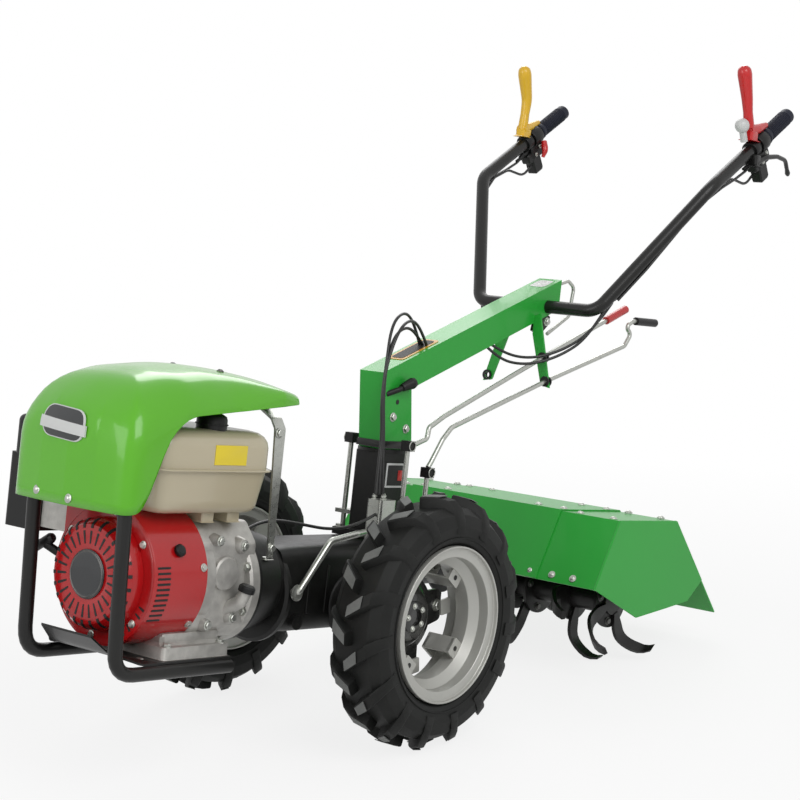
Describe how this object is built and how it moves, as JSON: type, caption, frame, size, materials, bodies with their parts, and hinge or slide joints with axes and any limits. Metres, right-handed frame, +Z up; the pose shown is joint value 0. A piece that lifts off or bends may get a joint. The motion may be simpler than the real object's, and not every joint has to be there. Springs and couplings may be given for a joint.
{
  "type": "hand tractor",
  "caption": "Two-wheel walking tractor with a hooded petrol engine in front, a swivelling handlebar column, lugged tyres and a rotary tiller behind.",
  "frame": {"origin": "centre of the footprint box on the floor", "axes": "+X forward towards the engine, +Y to the operator's left, +Z up"},
  "size_m": [1.9086, 0.68, 1.2433],
  "materials": {
    "tyre": "matt rubber",
    "rim_paint": "silver-grey paint",
    "black_iron": "satin black paint on iron",
    "engine_alloy": "cast alloy",
    "zinc": "zinc plated",
    "red_paint": "gloss red paint",
    "black_plastic": "satin black",
    "dark_steel": "dull steel",
    "tank_shell": "gloss beige",
    "hood_paint": "gloss yellow-green paint",
    "green_paint": "gloss green paint",
    "black_paint": "satin black paint",
    "tine_steel": "black paint",
    "grip_rubber": "ribbed rubber",
    "red_plastic": "gloss red",
    "yellow_plastic": "gloss yellow"
  },
  "bodies": {
    "chassis": {"air_cleaner": "black_plastic", "bell_housing": "engine_alloy", "bumper": "black_paint", "carburettor": "engine_alloy", "crankcase": "engine_alloy", "cylinder": "engine_alloy", "fan_shroud": "red_paint", "fuel_cap": "black_plastic", "fuel_tank": "tank_shell", "gear_cover": "zinc", "gear_linkage": "zinc", "gearbox": "black_iron", "hood": "hood_paint", "hood_bracket": "zinc", "muffler": "dark_steel", "post": "black_iron", "recoil_cover": "black_plastic", "recoil_handle": "black_plastic", "skid_plate": "black_paint", "tiller_case": "black_iron", "tiller_hood": "green_paint", "tiller_wings": "green_paint"},
    "wheel_left": {"tyre_left": "tyre", "rim_left": "rim_paint", "wheel_disc_left": "black_iron"},
    "wheel_right": {"tyre_right": "tyre", "rim_right": "rim_paint", "wheel_disc_right": "black_iron"},
    "tine_rotor": {"tine_rotor": "tine_steel"},
    "column": {"column": "green_paint", "rod_brackets": "green_paint", "rod_fittings": "black_plastic", "shift_rods": "zinc", "upper_rod_grip": "red_plastic", "bail": "zinc"},
    "handlebar": {"handlebars": "black_paint", "grips": "grip_rubber", "control_blocks": "black_plastic", "red_lever": "red_plastic", "yellow_lever": "yellow_plastic", "hand_lever": "black_paint", "height_sector": "black_paint"},
    "rear_flap": {"rear_flap": "green_paint"}
  },
  "joints": [
    {"name": "wheel_left_spin", "type": "hinge", "parent": "chassis", "child": "wheel_left", "pos_m": [0.31714, 0.267, 0.235], "axis": [0, 1, 0], "continuous": true},
    {"name": "wheel_right_spin", "type": "hinge", "parent": "chassis", "child": "wheel_right", "pos_m": [0.31714, -0.267, 0.235], "axis": [0, 1, 0], "continuous": true},
    {"name": "tine_rotor_spin", "type": "hinge", "parent": "chassis", "child": "tine_rotor", "pos_m": [-0.30065, 0, 0.13982], "axis": [0, 1, 0], "continuous": true},
    {"name": "column_swivel", "type": "hinge", "parent": "chassis", "child": "column", "pos_m": [0.12087, 0, 0.49369], "axis": [-0.1681, 0, 0.9858], "range_deg": [-25, 25]},
    {"name": "handlebar_height", "type": "hinge", "parent": "column", "child": "handlebar", "pos_m": [-0.39786, 0, 0.72785], "axis": [0, 1, 0], "range_deg": [-20, 15]},
    {"name": "rear_flap_hinge", "type": "hinge", "parent": "chassis", "child": "rear_flap", "pos_m": [-0.49722, 0, 0.21586], "axis": [0, 1, 0], "range_deg": [0, 60]}
  ]
}
